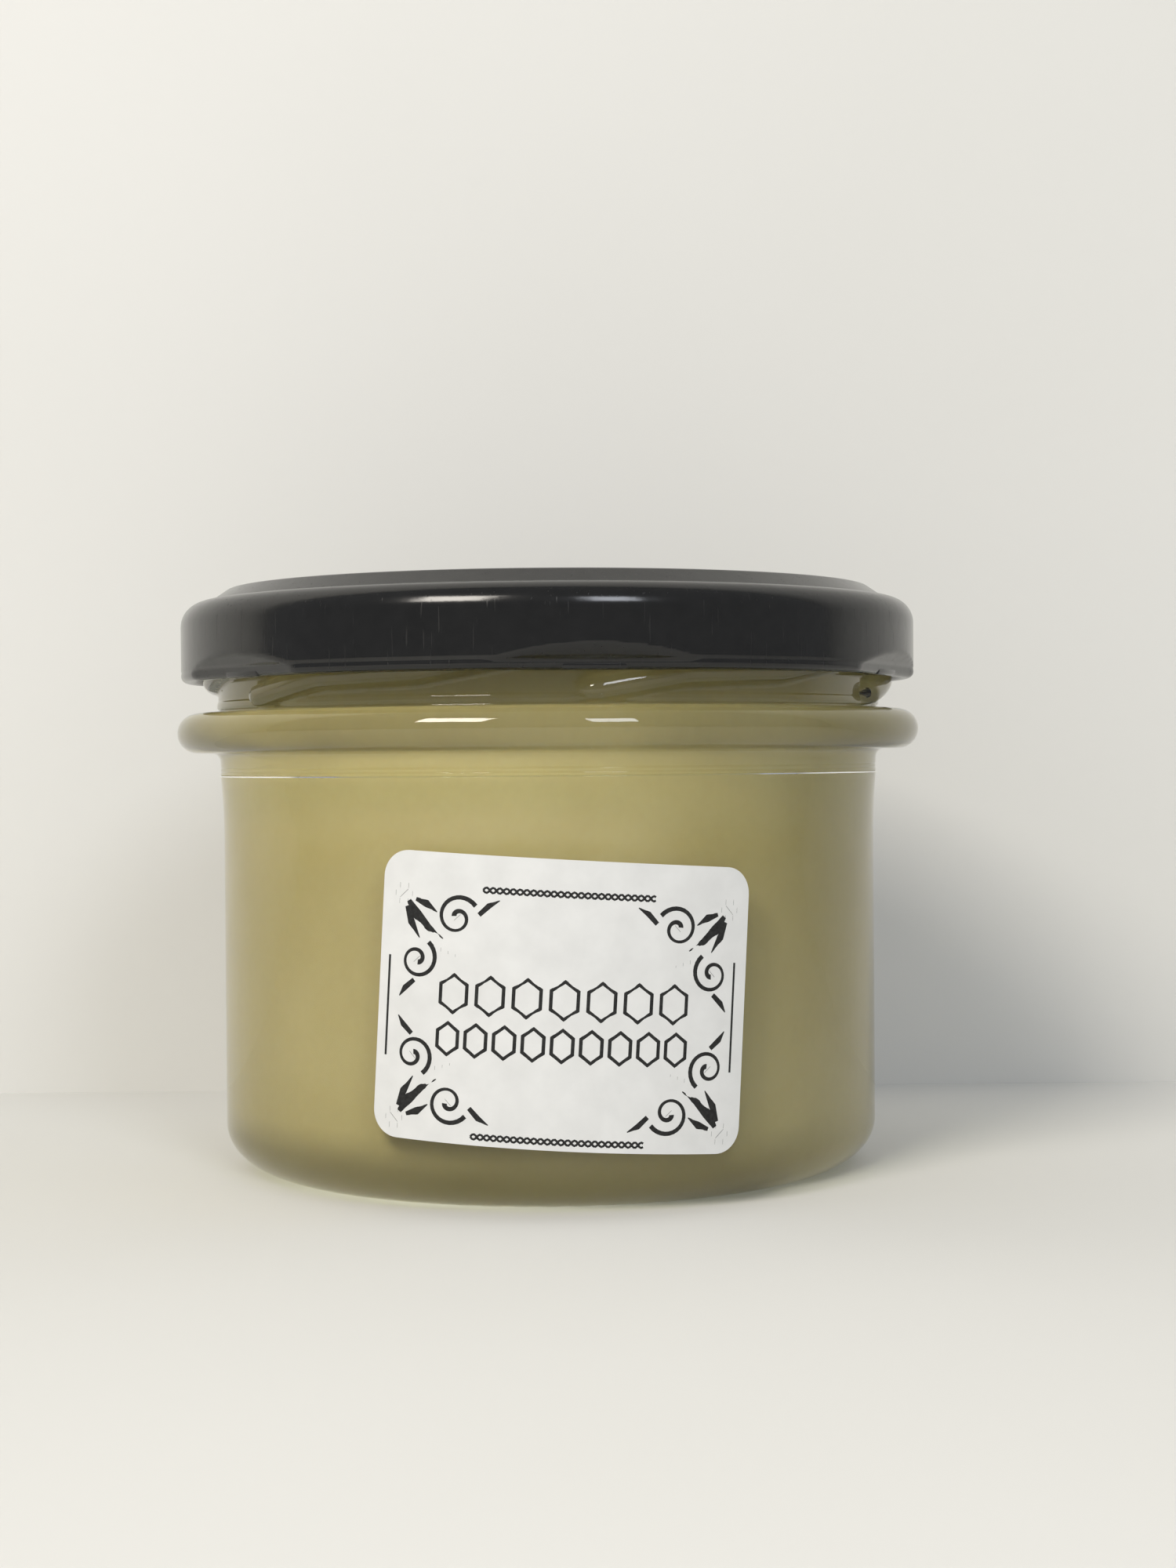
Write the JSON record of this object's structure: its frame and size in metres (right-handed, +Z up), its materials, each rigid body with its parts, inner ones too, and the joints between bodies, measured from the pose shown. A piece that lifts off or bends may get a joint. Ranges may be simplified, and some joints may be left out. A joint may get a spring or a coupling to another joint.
{
  "type": "honey jar",
  "caption": "Squat clear glass jar full of pale creamed honey, with a bead under the neck, a black pressed metal lug lid and a white paper sticker.",
  "frame": {"origin": "middle of the ring that the jar stands on", "axes": "+Z up along the jar's axis, -Y towards the front, where the sticker is, +X to the right of the front"},
  "size_m": [0.0862, 0.0862, 0.067],
  "materials": {
    "glass": "clear, fire polished",
    "honey": "opaque creamed honey, wet against the glass",
    "lid_lacquer": "gloss black lacquer on tinplate, lightly scratched",
    "label_paper": "smooth coated thermal paper"
  },
  "bodies": {
    "root": {"glass_jar": "glass", "honey": "honey", "lid": "lid_lacquer", "label": "label_paper"}
  },
  "joints": []
}
